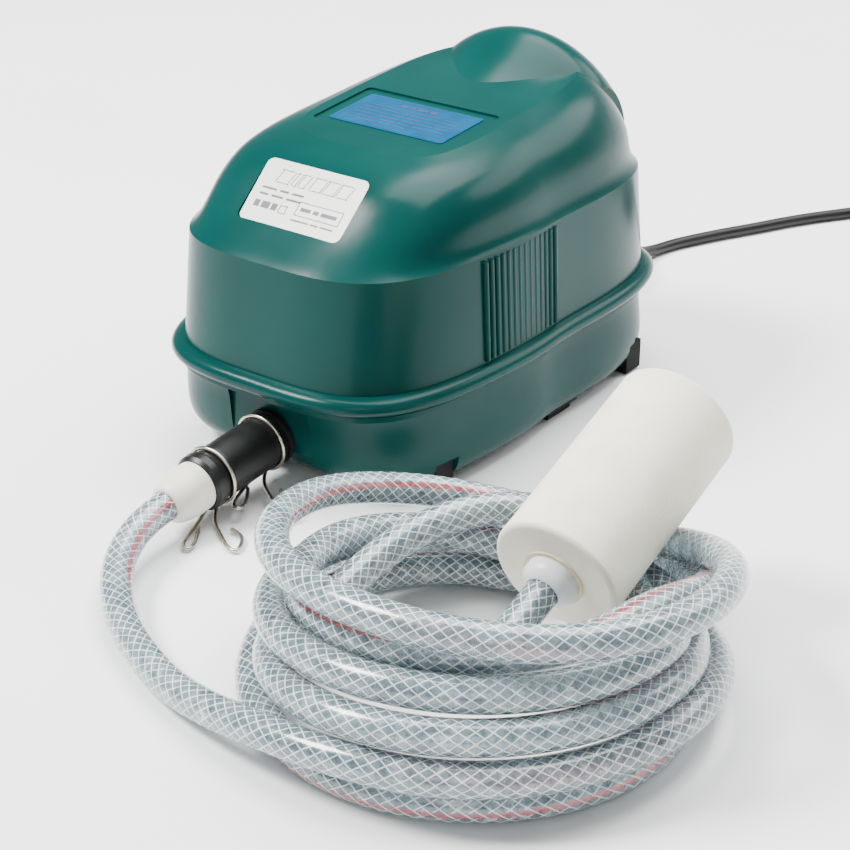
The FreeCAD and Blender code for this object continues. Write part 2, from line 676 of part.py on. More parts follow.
def hub_parts(radius, spans):
    made = []
    for side in (1, -1):
        for y1, y2 in spans:
            made.append(along_y(radius, side * y1, side * y2).cut(along_y(2.5, -70, 70)))
    return compound(made)


def make_nuts():
    made = []
    for side in (1, -1):
        corners = []
        for k in range(7):
            turn = math.radians(60 * k)
            corners.append(V(4.6 * math.cos(turn), side * 55.5, AXIS_Z + 4.6 * math.sin(turn)))
        nut = Part.Face(Part.makePolygon(corners)).extrude(V(0, side * 3.0, 0))
        made.append(nut.cut(along_y(2.5, -70, 70)))
    return compound(made)


def make_diaphragm(side):
    ring = along_y(30.0, side * 52, side * 54).cut(along_y(14.0, -70, 70))
    fold = Part.makeTorus(20.5, 2.0, V(0, side * 54, AXIS_Z), Y_AXIS)
    return ring.fuse(fold.common(slab(-40, 40, side * 54, side * 60, 20, 100))).removeSplitter()


def make_head(side):
    body = slab(-HEAD_HALF, HEAD_HALF, side * HEAD_Y, side * 80, AXIS_Z - HEAD_HALF, AXIS_Z + HEAD_HALF)
    cuts = [along_y(24.0, side * 50, side * 66)]
    for x in (-1, 1):
        cuts.append(slab(min(x * 2, x * 26), max(x * 2, x * 26), side * 70, side * 81, 37, 87))
        cuts.append(along_y(3.5, side * 60, side * 75, x * VALVE_X))
    cuts.append(rod(4.0, V(-40, side * 75, AXIS_Z), V(-20, side * 75, AXIS_Z)))
    if side < 0:
        cuts.append(rod(4.5, V(VALVE_X, -75, 25), V(VALVE_X, -75, 45)))
    else:
        cuts.append(rod(3.5, V(20, 75, 48), V(40, 75, 48)))
    for x, z in HEAD_SPOTS:
        cuts.append(along_y(1.9, -90, 90, x, z))
    for cut in cuts:
        body = body.cut(cut)
    return body


def make_head_cover(side):
    plate = slab(-HEAD_HALF, HEAD_HALF, side * 80, side * 83, AXIS_Z - HEAD_HALF, AXIS_Z + HEAD_HALF)
    for x, z in HEAD_SPOTS:
        plate = plate.cut(along_y(1.9, -90, 90, x, z))
    return plate


def make_head_screws():
    made = []
    for side in (1, -1):
        for x, z in HEAD_SPOTS:
            shank = along_y(1.74, side * 49, side * 83, x, z)
            made.append(shank.fuse(along_y(3.2, side * 83, side * 85.2, x, z)))
    return compound(made)


def flap_span(kind, side):
    """X side, and the face that the flap rests on and opens away from."""
    if kind == "inlet":
        return -VALVE_X, side * 66.0, side * (66.0 - FLAP_SIZE[2])
    return VALVE_X, side * 70.0, side * (70.0 + FLAP_SIZE[2])


def make_flap(kind, side):
    x, seat, free = flap_span(kind, side)
    half = FLAP_SIZE[0] / 2
    leaf = slab(x - half, x + half, seat, free, FLAP_TOP - FLAP_SIZE[1], FLAP_TOP)
    middle = (seat + free) / 2
    edge = rod(FLAP_SIZE[2] / 2, V(x - half, middle, FLAP_TOP), V(x + half, middle, FLAP_TOP))
    return leaf.fuse(edge)


def make_retainers():
    made = []
    for side in (1, -1):
        for kind in ("inlet", "outlet"):
            x, seat, free = flap_span(kind, side)
            back = seat + (free - seat) * 2.2
            made.append(slab(x - 6.5, x + 6.5, seat, back, FLAP_TOP + 0.6, FLAP_TOP + 4.6))
    return compound(made)


def make_front_elbow():
    ring = rod(6.5, V(VALVE_X, -75, 26), V(VALVE_X, -75, 31))
    return ring.cut(rod(4.5, V(VALVE_X, -75, 20), V(VALVE_X, -75, 40)))


def make_terminal():
    block = box(14, 36, 86, 95.5, TUB_FLOOR, 21)
    for x in (19, 25, 31):
        block = block.cut(rod(1.8, V(x, 90.8, 17), V(x, 90.8, 25)))
    return block


def main():
    os.makedirs("parts", exist_ok=True)
    place(make_cover(), "top_cover")
    place(make_tub(), "base_tub")
    place(make_seal(), "cover_seal")
    place(make_screws(SCREW_SPOTS, 7.6, 55.0, 4.0, 2.8, 1.99), "cover_screws")
    place(make_feet(), "rubber_feet")
    place(make_filter_cap(), "filter_cap")
    place(rod(22.6, V(0, 0, TUB_FLOOR + 0.2), V(0, 0, 19.0)), "filter_foam")
    plate = rounded_plate(*TOP_LABEL, 0.0, LABEL_THICK, 1.5)
    place(label_frame(plate, TOP_LABEL_CENTRE.add(V(0, 0, -0.8)), TOP_ANGLE), "top_label")
    tilt = math.radians(FRONT_LABEL_ANGLE)
    sunk = FRONT_LABEL_CENTRE.add(V(0, math.sin(tilt) * 0.9, -math.cos(tilt) * 0.9))
    plate = rounded_plate(*FRONT_LABEL, 0.0, LABEL_THICK, 3.0)
    place(label_frame(plate, sunk, FRONT_LABEL_ANGLE), "front_label")
    place(make_manifold(), "outlet_manifold")
    place(make_grommet(), "outlet_grommet")
    place(make_sleeve(), "outlet_sleeve")
    place(make_clamp(6.9, 6.0), "clamp_inner")
    place(make_clamp(36.1, 1.4), "clamp_outer")
    place(make_adapter(), "hose_adapter")
    place(cord_tube("hose_lead", HOSE_LEAD, HOSE_R), "hose_lead")
    place(make_hose_coil(), "hose_coil")
    place(cord_tube("hose_tail", HOSE_TAIL, HOSE_R), "hose_tail")
    place(make_connector(), "stone_connector")
    place(make_stone_seal(), "stone_seal")
    place(make_stone(), "air_stone")
    place(make_gland(), "cord_gland")
    place(cord_tube("power_cord_run", CORD_RUN, CORD_R), "power_cord_run")
    place(make_reel(), "power_cord_coil")
    place(cord_tube("power_cord_tail", CORD_TAIL, CORD_R), "power_cord_tail")
    place(make_tie(), "cord_tie")
    place(make_plug(), "plug_body")
    place(make_pins(), "plug_pins")
    place(make_frame(), "motor_frame")
    place(make_mounts(), "shock_mounts")
    place(make_frame_screws(), "frame_screws")
    place(make_cores(), "stator_cores")
    place(make_core_bolts(), "core_bolts")
    place(make_bobbins(), "bobbins")
    place(make_windings(), "windings")
    place(along_y(2.5, -58.5, 58.5), "armature_rod")
    place(make_carrier(), "magnet_carrier")
    place(make_magnets(), "magnets")
    place(hub_parts(13.8, [(52.0, 54.0)]), "diaphragm_hubs")
    place(hub_parts(12.5, [(50.5, 52.0), (54.0, 55.5)]), "hub_discs")
    place(make_nuts(), "rod_nuts")
    for name, side in (("front", -1), ("rear", 1)):
        place(make_diaphragm(side), "diaphragm_" + name)
        place(make_head(side), "head_" + name)
        place(make_head_cover(side), "head_cover_" + name)
        place(make_flap("inlet", side), "inlet_flap_" + name)
        place(make_flap("outlet", side), "outlet_flap_" + name)
    place(make_head_screws(), "head_screws")
    place(make_retainers(), "flap_retainers")
    place(make_front_elbow(), "front_elbow")
    place(cord_tube("rear_air_tube", REAR_TUBE, 5.0), "rear_air_tube")
    place(make_terminal(), "terminal_block")
    place(cord_tube("inner_lead", INNER_LEAD, 2.0), "inner_lead")


main()
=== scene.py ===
"""Looks of the pond air pump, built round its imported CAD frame. Metres, front towards -Y."""
import bmesh
import json
import math

import bpy
from mathutils import Matrix, Vector


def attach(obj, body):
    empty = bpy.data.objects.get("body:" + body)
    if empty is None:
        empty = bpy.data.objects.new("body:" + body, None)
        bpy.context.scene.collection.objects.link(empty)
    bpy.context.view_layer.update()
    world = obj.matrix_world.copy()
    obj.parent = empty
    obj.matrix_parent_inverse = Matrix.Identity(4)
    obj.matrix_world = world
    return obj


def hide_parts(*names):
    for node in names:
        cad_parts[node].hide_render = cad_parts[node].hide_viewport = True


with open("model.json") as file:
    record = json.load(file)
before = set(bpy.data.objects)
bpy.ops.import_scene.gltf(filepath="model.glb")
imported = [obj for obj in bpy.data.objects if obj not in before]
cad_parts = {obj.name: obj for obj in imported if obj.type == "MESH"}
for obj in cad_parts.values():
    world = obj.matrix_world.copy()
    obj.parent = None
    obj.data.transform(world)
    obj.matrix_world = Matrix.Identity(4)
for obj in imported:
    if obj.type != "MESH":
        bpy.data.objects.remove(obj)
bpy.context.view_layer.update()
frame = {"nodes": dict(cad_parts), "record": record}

MM = 0.001
nodes = frame["nodes"]


# ---- camera ---------------------------------------------------------------------------
def make_camera():
    data = bpy.data.cameras.new("camera")
    data.lens = 84.72
    data.sensor_width = 36.0
    data.clip_start = 0.01
    data.clip_end = 20.0
    camera = bpy.data.objects.new("camera", data)
    bpy.context.scene.collection.objects.link(camera)
    place = Vector((479.70, -633.88, 383.39)) * MM
    target = Vector((91.87, -118.35, 60.0)) * MM
    camera.location = place
    camera.rotation_euler = (target - place).to_track_quat("-Z", "Y").to_euler()
    bpy.context.scene.camera = camera


make_camera()


# ---- small helpers --------------------------------------------------------------------
def link(name, data, material=None):
    thing = bpy.data.objects.new(name, data)
    bpy.context.scene.collection.objects.link(thing)
    if material is not None:
        data.materials.append(material)
    return thing


def soft_curve(name, points, bevel=0.0):
    """One open NURBS spline through the route's control points, given in millimetres."""
    data = bpy.data.curves.new(name, "CURVE")
    data.dimensions = "3D"
    data.bevel_depth = bevel
    data.bevel_resolution = 6
    data.use_fill_caps = True
    spline = data.splines.new("NURBS")
    spline.points.add(len(points) - 1)
    for point, (x, y, z) in zip(spline.points, points):
        point.co = (x * MM, y * MM, z * MM, 1.0)
    spline.order_u = 3
    spline.use_endpoint_u = True
    spline.resolution_u = 8
    return link(name, data)


# ---- routes of the hose and the mains lead (millimetres) ------------------------------
HOSE_RADIUS = 6.0
HOSE_SIDES = 20
CORD_RADIUS = 2.8
HOSE_LEAD = [(0, -154.0, 15.3), (0, -166.6, 14.3), (2.8, -181.8, 12.6), (10.4, -197.2, 10.2),
             (23.5, -211.6, 8.4), (40.5, -223.8, 7.2), (60, -233.2, 6.6), (79.5, -240.6, 7.2),
             (99, -245.3, 10), (117.5, -248.6, 13.6)]
HOSE_TAIL = [(104, -183, 26), (107.4, -200.4, 24.2), (119.6, -213.6, 23.2), (137, -218.7, 22.8),
             (154.3, -214, 23.6), (166.6, -201.4, 26), (170.8, -185.5, 29.4),
             (170.6, -171.2, 33.4), (170.2, -157.6, 37.8)]
COIL_CENTRE = (153.0, -166.0)
COIL_STEP = 24
COIL_END = 1980
# The loose turns, from the bottom up: angle round the centre, reach, height of the hose's middle
COIL_STATIONS = [
    (-90, 84, 18.4), (0, 79, 18.2), (45, 78, 10), (90, 70, 6.4), (180, 79, 6.2), (250, 79, 6.2),
    (270, 79, 6.2), (360, 72, 6.2), (405, 63, 6.2), (450, 57, 6.2), (540, 65, 13.5),
    (565, 69, 15.5), (590, 74, 20), (630, 79, 29.5), (720, 73, 29.5), (742, 70, 21.5),
    (765, 69, 20.5), (810, 68, 19), (825, 68, 18.5), (900, 73, 25), (990, 71, 40),
    (1080, 69, 40.5), (1100, 64, 33), (1122, 58, 26), (1145, 54.5, 19.5), (1180, 54, 18.5),
    (1260, 63, 34.5), (1350, 60, 46), (1440, 59, 48.5), (1460, 65, 47), (1485, 79, 29),
    (1516, 83, 16), (1535, 83, 17), (1575, 81, 29), (1620, 79, 45.5), (1710, 62, 58),
    (1800, 78, 55), (1845, 82, 43), (1872, 79, 26.5), (1895, 71, 31), (1935, 50, 38),
    (1980, 48, 29.5),
]
CORD_RUN = [(0, 137.4, 24), (0, 149, 24), (-0.8, 162, 20.2), (-2, 175, 13.4),
            (-2.8, 188.5, 6.4), (-2.7, 203, 3.1), (0.4, 217, 2.9), (6.2, 230.5, 2.9),
            (13.6, 246, 2.9), (22.4, 262, 2.9), (30.6, 279, 2.9), (40, 295.5, 2.9),
            (50.6, 311, 2.9), (61, 326.5, 2.9)]
CORD_TAIL = [(107.7, 356.8, 9.0), (121, 354.8, 8.7), (134.5, 351, 8.0), (147.5, 346.8, 7.2),
             (160, 342.7, 6.7)]
REEL_CENTRE = (104.0, 322.0)
REEL_REACH = 34.4            # of the outermost turn's middle
REEL_PITCH = 6.0
REEL_START = 149             # degrees, where the lead joins the reel
REEL_STEP = 25
REEL_POINTS = 88
REEL_FLOOR = 3.5             # height of the lower layer's middle
REEL_LAYER = 5.6             # from the lower layer's middle to the upper's
REEL_INWARDS = (0.85, 1.85)  # turns at which the lead steps in, then climbs, then steps out
REEL_CLIMB = 2.8
REEL_OUTWARDS = (3.9, 4.9)


def station(angle):
    """Reach and height at an angle, eased between the stations on either side of it."""
    k = 0
    while k < len(COIL_STATIONS) - 2 and angle > COIL_STATIONS[k + 1][0]:
        k += 1
    here, after = COIL_STATIONS[k], COIL_STATIONS[k + 1]
    before = COIL_STATIONS[max(k - 1, 0)]
    later = COIL_STATIONS[min(k + 2, len(COIL_STATIONS) - 1)]
    span = after[0] - here[0]
    t = (angle - here[0]) / span
    values = []
    for c in (1, 2):
        slope_in = (after[c] - before[c]) / (after[0] - before[0]) * span
        slope_out = (later[c] - here[c]) / (later[0] - here[0]) * span
        values.append((2 * t**3 - 3 * t**2 + 1) * here[c] + (t**3 - 2 * t**2 + t) * slope_in
                      + (3 * t**2 - 2 * t**3) * after[c] + (t**3 - t**2) * slope_out)
    return values


def coil_turns():
    """The hose's loose turns. A control point lies a little outside its curve."""
    outset = 1.0 / math.sqrt(math.cos(math.radians(COIL_STEP / 2)))
    points = []
    for angle in range(COIL_STATIONS[0][0], COIL_END + 1, COIL_STEP):
        reach, height = station(angle)
        turn = math.radians(angle)
        points.append((COIL_CENTRE[0] + reach * outset * math.cos(turn),
                       COIL_CENTRE[1] + reach * outset * math.sin(turn), max(height, 6.1)))
    return points


def eased(turns, start):
    """From 0 to 1 over a quarter turn, slow at both ends."""
    t = min(max((turns - start) / 0.25, 0.0), 1.0)
    return t * t * (3 - 2 * t)


def reel_turns():
    """The put-away lead: three rings inwards on the floor, three outwards on top, clockwise.

    Each ring keeps one reach for most of a turn. So where the lead steps to the next ring,
    climbs or leaves, it runs through its neighbours instead of lying a diameter from them.
    """
    outset = 1.0 / math.cos(math.radians(REEL_STEP / 2))
    points = []
    for k in range(REEL_POINTS):
        turns = k * REEL_STEP / 360
        inwards = sum(eased(turns, start) for start in REEL_INWARDS)
        outwards = sum(eased(turns, start) for start in REEL_OUTWARDS)
        reach = (REEL_REACH - REEL_PITCH * (inwards - outwards)) * outset
        height = REEL_FLOOR + REEL_LAYER * eased(turns, REEL_CLIMB)
        turn = math.radians(REEL_START - k * REEL_STEP)
        points.append((REEL_CENTRE[0] + reach * math.cos(turn),
                       REEL_CENTRE[1] + reach * math.sin(turn), height))
    return points


def line_through(points):
    """The smooth line of one NURBS spline with these control points, in metres."""
    curve = soft_curve("route", points)
    bpy.context.view_layer.update()
    mesh = bpy.data.meshes.new_from_object(curve)
    line = [Vector(v.co) for v in mesh.vertices]
    bpy.data.objects.remove(curve)
    bpy.data.meshes.remove(mesh)
    return line


def tube_mesh(name, line, radius, sides):
    """A round tube along a line, with UVs: metres along it, and turns round it."""
    rings = []
    across = (line[1] - line[0]).orthogonal().normalized()
    mesh = bmesh.new()
    for k, point in enumerate(line):
        ahead = line[min(k + 1, len(line) - 1)] - line[max(k - 1, 0)]
        ahead.normalize()
        across = (across - ahead * across.dot(ahead)).normalized()
        other = ahead.cross(across)
        ring = []
        for j in range(sides):
            turn = 2 * math.pi * j / sides
            spoke = across * math.cos(turn) + other * math.sin(turn)
            ring.append(mesh.verts.new(point + spoke * radius))
        rings.append(ring)
    uv = mesh.loops.layers.uv.new("along")
    run = 0.0
    for k in range(len(rings) - 1):
        step = (line[k + 1] - line[k]).length
        for j in range(sides):
            face = mesh.faces.new((rings[k][j], rings[k][(j + 1) % sides],
                                   rings[k + 1][(j + 1) % sides], rings[k + 1][j]))
            face.smooth = True
            corners = ((run, j), (run, j + 1), (run + step, j + 1), (run + step, j))
            for loop, (u, v) in zip(face.loops, corners):
                loop[uv].uv = (u, v / sides)
        run += step
    mesh.faces.new(list(reversed(rings[0])))
    mesh.faces.new(rings[-1])
    data = bpy.data.meshes.new(name)
    mesh.to_mesh(data)
    mesh.free()
    return link(name, data)


# ---- materials ------------------------------------------------------------------------
def shader_tree(name):
    material = bpy.data.materials.new(name)
    material.use_nodes = True
    tree = material.node_tree
    tree.nodes.clear()
    out = tree.nodes.new("ShaderNodeOutputMaterial")
    shader = tree.nodes.new("ShaderNodeBsdfPrincipled")
    tree.links.new(shader.outputs["BSDF"], out.inputs["Surface"])
    return material, tree, shader


def noise(tree, coords, scale, detail=3.0, rough=0.5):
    node = tree.nodes.new("ShaderNodeTexNoise")
    node.inputs["Scale"].default_value = scale
    node.inputs["Detail"].default_value = detail
    node.inputs["Roughness"].default_value = rough
    tree.links.new(coords, node.inputs["Vector"])
    return node.outputs["Fac"]


def ramp(tree, fac, stops):
    node = tree.nodes.new("ShaderNodeValToRGB")
    while len(node.color_ramp.elements) < len(stops):
        node.color_ramp.elements.new(0.5)
    for element, (place, colour) in zip(node.color_ramp.elements, stops):
        element.position = place
        element.color = (*colour, 1.0)
    tree.links.new(fac, node.inputs["Fac"])
    return node.outputs["Color"]


def to_range(tree, fac, low, high):
    node = tree.nodes.new("ShaderNodeMapRange")
    node.interpolation_type = "SMOOTHSTEP"
    node.inputs["From Min"].default_value = 0.2
    node.inputs["From Max"].default_value = 0.8
    node.inputs["To Min"].default_value = low
    node.inputs["To Max"].default_value = high
    tree.links.new(fac, node.inputs["Value"])
    return node.outputs["Result"]


def math_node(tree, operation, first, second=None, third=None):
    node = tree.nodes.new("ShaderNodeMath")
    node.operation = operation
    for k, value in enumerate((first, second, third)):
        if value is None:
            continue
        if isinstance(value, (int, float)):
            node.inputs[k].default_value = value
        else:
            tree.links.new(value, node.inputs[k])
    return node.outputs["Value"]


def bump(tree, shader, height, strength, distance):
    node = tree.nodes.new("ShaderNodeBump")
    node.inputs["Strength"].default_value = strength
    node.inputs["Distance"].default_value = distance
    tree.links.new(height, node.inputs["Height"])
    tree.links.new(node.outputs["Normal"], shader.inputs["Normal"])


def finish_of(name, dark, light, rough, scale=40.0, grain=900.0, grain_depth=0.00004,
              strength=0.3, **fixed):
    """A surface whose colour and gloss drift a little, with a fine grain."""
    material, tree, shader = shader_tree(name)
    coords = tree.nodes.new("ShaderNodeTexCoord").outputs["Object"]
    drift = noise(tree, coords, scale)
    tree.links.new(ramp(tree, drift, [(0.3, dark), (0.7, light)]), shader.inputs["Base Color"])
    tree.links.new(to_range(tree, drift, *rough), shader.inputs["Roughness"])
    bump(tree, shader, noise(tree, coords, grain, 2.0), strength, grain_depth)
    for key, value in fixed.items():
        shader.inputs[key.replace("_", " ")].default_value = value
    return material


THREADS = 10                 # wound each way
THREAD_STEP = 0.0050         # metres along the hose from one thread to the next
THREAD_WIDTH = 0.072         # half the width, as a share of the step
TRACER_TURNS = 0.9           # the tracer's turns in each metre
TRACER_WIDTH = 0.028         # half the width, as a share of the way round


def off_middle(tree, phase):
    """How far a running phase is from the middle of its step, from 0 to a half."""
    return math_node(tree, "ABSOLUTE", math_node(tree, "SUBTRACT", math_node(tree, "FRACT", phase), 0.5))


def mixed(tree, fac, first, second):
    node = tree.nodes.new("ShaderNodeMix")
    node.data_type = "RGBA"
    tree.links.new(fac, node.inputs["Factor"])
    tree.links.new(first, node.inputs["A"])
    tree.links.new(second, node.inputs["B"])
    return node.outputs["Result"]


def braided_hose():
    """Clear hose: white threads crossing in diamonds under a glossy skin, with a red tracer."""
    material, tree, shader = shader_tree("braided_hose")
    uv = tree.nodes.new("ShaderNodeUVMap")
    uv.uv_map = "along"
    split = tree.nodes.new("ShaderNodeSeparateXYZ")
    tree.links.new(uv.outputs["UV"], split.inputs["Vector"])
    along, round_it = split.outputs["X"], split.outputs["Y"]
    coords = tree.nodes.new("ShaderNodeTexCoord").outputs["Object"]
    wander = math_node(tree, "MULTIPLY", noise(tree, coords, 120.0, 2.0), 0.35)
    threads = []
    for way in (1, -1):
        turns = math_node(tree, "MULTIPLY_ADD", round_it, THREADS, wander)
        phase = math_node(tree, "MULTIPLY_ADD", along, way / THREAD_STEP, turns)
        threads.append(math_node(tree, "LESS_THAN", off_middle(tree, phase), THREAD_WIDTH))
    either = math_node(tree, "MAXIMUM", threads[0], threads[1])
    crossing = math_node(tree, "MULTIPLY", threads[0], threads[1])
    tracer_phase = math_node(tree, "MULTIPLY_ADD", along, TRACER_TURNS, round_it)
    tracer_phase = math_node(tree, "MULTIPLY_ADD", wander, 0.02, tracer_phase)
    tracer = math_node(tree, "LESS_THAN", off_middle(tree, tracer_phase), TRACER_WIDTH)
    tracer = math_node(tree, "MULTIPLY", tracer, math_node(tree, "SUBTRACT", 1.0, threads[1]))
    clouds = noise(tree, coords, 260.0, 3.0)
    clear = ramp(tree, clouds, [(0.3, (0.11, 0.17, 0.20)), (0.52, (0.25, 0.34, 0.37)),
                                (0.75, (0.50, 0.59, 0.61))])
    white = ramp(tree, clouds, [(0.3, (0.42, 0.48, 0.50)), (0.7, (0.80, 0.84, 0.85))])
    red = ramp(tree, clouds, [(0.3, (0.45, 0.06, 0.09)), (0.7, (0.62, 0.16, 0.18))])
    braid = mixed(tree, either, clear, white)
    tree.links.new(mixed(tree, tracer, braid, red), shader.inputs["Base Color"])
    see_through = math_node(tree, "MULTIPLY_ADD", either, -0.5, 0.6)
    tree.links.new(see_through, shader.inputs["Transmission Weight"])
    tree.links.new(to_range(tree, clouds, 0.16, 0.3), shader.inputs["Roughness"])
    raised = math_node(tree, "MULTIPLY_ADD", crossing, 0.6, either)
    bump(tree, shader, raised, 0.35, 0.0004)
    shader.inputs["IOR"].default_value = 1.5
    shader.inputs["Coat Weight"].default_value = 0.6
    shader.inputs["Coat Roughness"].default_value = 0.12
    return material


MATERIALS = {
    "casing": finish_of("casing_plastic", (0.0, 0.036, 0.032), (0.0001, 0.044, 0.039), (0.2, 0.27),
                        scale=25.0, grain=1400.0, grain_depth=0.00002, strength=0.12,
                        IOR=1.22),
    "seal_rubber": finish_of("seal_rubber", (0.004, 0.004, 0.004), (0.008, 0.008, 0.008), (0.6, 0.75),
                             Specular_IOR_Level=0.25),
    "foot_rubber": finish_of("foot_rubber", (0.003, 0.003, 0.003), (0.006, 0.006, 0.006), (0.65, 0.8),
                             Specular_IOR_Level=0.2),
    "screw_steel": finish_of("screw_steel", (0.42, 0.41, 0.39), (0.58, 0.57, 0.55), (0.28, 0.42),
                             scale=200.0, Metallic=1.0),
    "cap_plastic": finish_of("cap_plastic", (0.0, 0.036, 0.032), (0.0001, 0.044, 0.039), (0.4, 0.5),
                             IOR=1.22),
    "foam": finish_of("filter_foam", (0.03, 0.03, 0.032), (0.09, 0.09, 0.095), (0.9, 1.0), scale=500.0,
                      grain=1500.0, grain_depth=0.0006, strength=0.9),
    "black_plastic": finish_of("black_plastic", (0.004, 0.004, 0.004), (0.008, 0.008, 0.008),
                               (0.34, 0.48), Specular_IOR_Level=0.35),
    "sleeve_rubber": finish_of("sleeve_rubber", (0.003, 0.0035, 0.0035), (0.007, 0.0075, 0.0075),
                               (0.36, 0.5), scale=60.0, grain=700.0, grain_depth=0.00006, strength=0.4,
                               Specular_IOR_Level=0.35),
    "wire_steel": finish_of("wire_steel", (0.42, 0.39, 0.33), (0.56, 0.52, 0.45), (0.24, 0.36), scale=120.0,
                            grain_depth=0.000006, strength=0.1, Metallic=1.0),
    "adapter_plastic": finish_of("adapter_plastic", (0.70, 0.68, 0.58), (0.80, 0.78, 0.68), (0.35, 0.45),
                                 scale=90.0, grain=600.0, Subsurface_Weight=0.15, Subsurface_Scale=0.004),
    "connector_plastic": finish_of("connector_plastic", (0.62, 0.66, 0.66), (0.74, 0.77, 0.76), (0.3, 0.42),
                                   scale=90.0, grain=600.0, Subsurface_Weight=0.2, Subsurface_Scale=0.004),
    "glue": finish_of("glue_ring", (0.55, 0.46, 0.30), (0.72, 0.63, 0.46), (0.35, 0.6), scale=220.0,
                      grain=500.0, grain_depth=0.0004, strength=0.8),
    "stone": finish_of("air_stone", (0.84, 0.78, 0.64), (0.92, 0.87, 0.75), (0.85, 0.98), scale=70.0,
                       grain=2600.0, grain_depth=0.00035, strength=0.75),
    "cord_black": finish_of("mains_lead", (0.003, 0.003, 0.003), (0.007, 0.007, 0.007), (0.38, 0.52),
                            Specular_IOR_Level=0.35),
    "plug_plastic": finish_of("plug_body", (0.003, 0.003, 0.003), (0.006, 0.006, 0.006), (0.36, 0.5),
                              Specular_IOR_Level=0.35),
    "pin_brass": finish_of("plug_pins", (0.62, 0.55, 0.38), (0.78, 0.7, 0.5), (0.22, 0.35), Metallic=1.0),
    "frame_metal": finish_of("frame_metal", (0.33, 0.34, 0.35), (0.46, 0.47, 0.48), (0.35, 0.55),
                             Metallic=1.0),
    "mount_rubber": finish_of("mount_rubber", (0.012, 0.012, 0.013), (0.022, 0.022, 0.024), (0.6, 0.75)),
    "core_steel": finish_of("core_laminations", (0.16, 0.16, 0.17), (0.27, 0.27, 0.28), (0.4, 0.6),
                            scale=400.0, Metallic=0.9),
    "bobbin_plastic": finish_of("bobbin_plastic", (0.68, 0.66, 0.6), (0.8, 0.78, 0.72), (0.4, 0.55)),
    "winding_copper": finish_of("winding_copper", (0.42, 0.15, 0.06), (0.6, 0.25, 0.11), (0.28, 0.42),
                                scale=600.0, grain=1600.0, grain_depth=0.0002, strength=0.6, Metallic=0.9),
    "rod_steel": finish_of("rod_steel", (0.5, 0.5, 0.49), (0.64, 0.64, 0.63), (0.2, 0.32), Metallic=1.0),
    "carrier_plastic": finish_of("carrier_plastic", (0.014, 0.014, 0.015), (0.03, 0.03, 0.031),
                                 (0.45, 0.6)),
    "magnet": finish_of("ferrite_magnet", (0.028, 0.027, 0.027), (0.055, 0.053, 0.052), (0.5, 0.7),
                        scale=300.0),
    "diaphragm_rubber": finish_of("diaphragm_rubber", (0.014, 0.014, 0.015), (0.026, 0.026, 0.027),
                                  (0.6, 0.75)),
    "disc_steel": finish_of("disc_steel", (0.46, 0.46, 0.46), (0.6, 0.6, 0.6), (0.25, 0.4), Metallic=1.0),
    "head_plastic": finish_of("head_plastic", (0.013, 0.014, 0.014), (0.026, 0.027, 0.027), (0.4, 0.55)),
    "flap_rubber": finish_of("flap_rubber", (0.25, 0.09, 0.05), (0.36, 0.15, 0.08), (0.5, 0.65)),
    "terminal_plastic": finish_of("terminal_block", (0.7, 0.68, 0.62), (0.82, 0.8, 0.74), (0.4, 0.55)),
    "silver_label": finish_of("silver_label", (0.29, 0.295, 0.28), (0.39, 0.395, 0.375), (0.34, 0.46),
                              scale=60.0, grain_depth=0.00001, Metallic=0.35, Specular_IOR_Level=0.25),
    "blue_label": finish_of("blue_label", (0.0, 0.055, 0.13), (0.0, 0.07, 0.16), (0.4, 0.5), scale=120.0,
                            IOR=1.15),
    "hose_pvc": braided_hose(),
}
INK = {
    "dark": finish_of("label_ink", (0.018, 0.020, 0.022), (0.04, 0.042, 0.045), (0.4, 0.55)),
    "navy": finish_of("label_navy", (0.010, 0.028, 0.09), (0.016, 0.04, 0.12), (0.4, 0.5)),
}

for part in frame["record"]["subparts"]:
    node = nodes[part["node"]]
    node.data.materials.clear()
    node.data.materials.append(MATERIALS[part["material_slot"]])


def wear(thing, slot, body="pump"):
    """Give a piece its slot's material and its body."""
    thing.data.materials.clear()
    thing.data.materials.append(MATERIALS[slot])
    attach(thing, body)


# ---- hose -----------------------------------------------------------------------------
hose_line = line_through(HOSE_LEAD + coil_turns() + HOSE_TAIL)
hose = tube_mesh("air_hose", hose_line, HOSE_RADIUS * MM, HOSE_SIDES)
wear(hose, "hose_pvc")
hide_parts("hose_lead", "hose_coil", "hose_tail")

# ---- mains lead and plug --------------------------------------------------------------
PLUG_ENTRY = Vector(CORD_TAIL[-1])
PLUG_HEADING = -18.2         # degrees
# Along the plug from the lead: distance, half width, half height
PLUG_STATIONS = [(0.0, 3.6, 3.6), (1.2, 4.1, 4.1), (5.0, 4.6, 4.5), (10.0, 5.6, 4.9),
                 (14.0, 8.8, 5.6), (18.0, 11.4, 6.2), (23.0, 12.4, 6.6), (32.0, 12.5, 6.65),
                 (35.0, 12.2, 6.4), (36.0, 11.2, 5.4)]
PLUG_SIDES = 48
PLUG_RING_STEP = 0.5
PLUG_RIB_STEP = 2.4
PLUG_RIB_HEIGHT = 0.3
PLUG_RIBS = (1.2, 9.6)       # where the ribs start and end


def plug_size(x):
    """Half width and half height at a distance along the plug, with ribs near the lead."""
    k = 0
    while x > PLUG_STATIONS[k + 1][0]:
        k += 1
    before, after = PLUG_STATIONS[k], PLUG_STATIONS[k + 1]
    t = (x - before[0]) / (after[0] - before[0])
    t = t * t * (3 - 2 * t)
    rib = 0.0
    if PLUG_RIBS[0] < x < PLUG_RIBS[1]:
        rib = PLUG_RIB_HEIGHT * math.sin(2 * math.pi * x / PLUG_RIB_STEP)
    return before[1] + (after[1] - before[1]) * t + rib, before[2] + (after[2] - before[2]) * t + rib


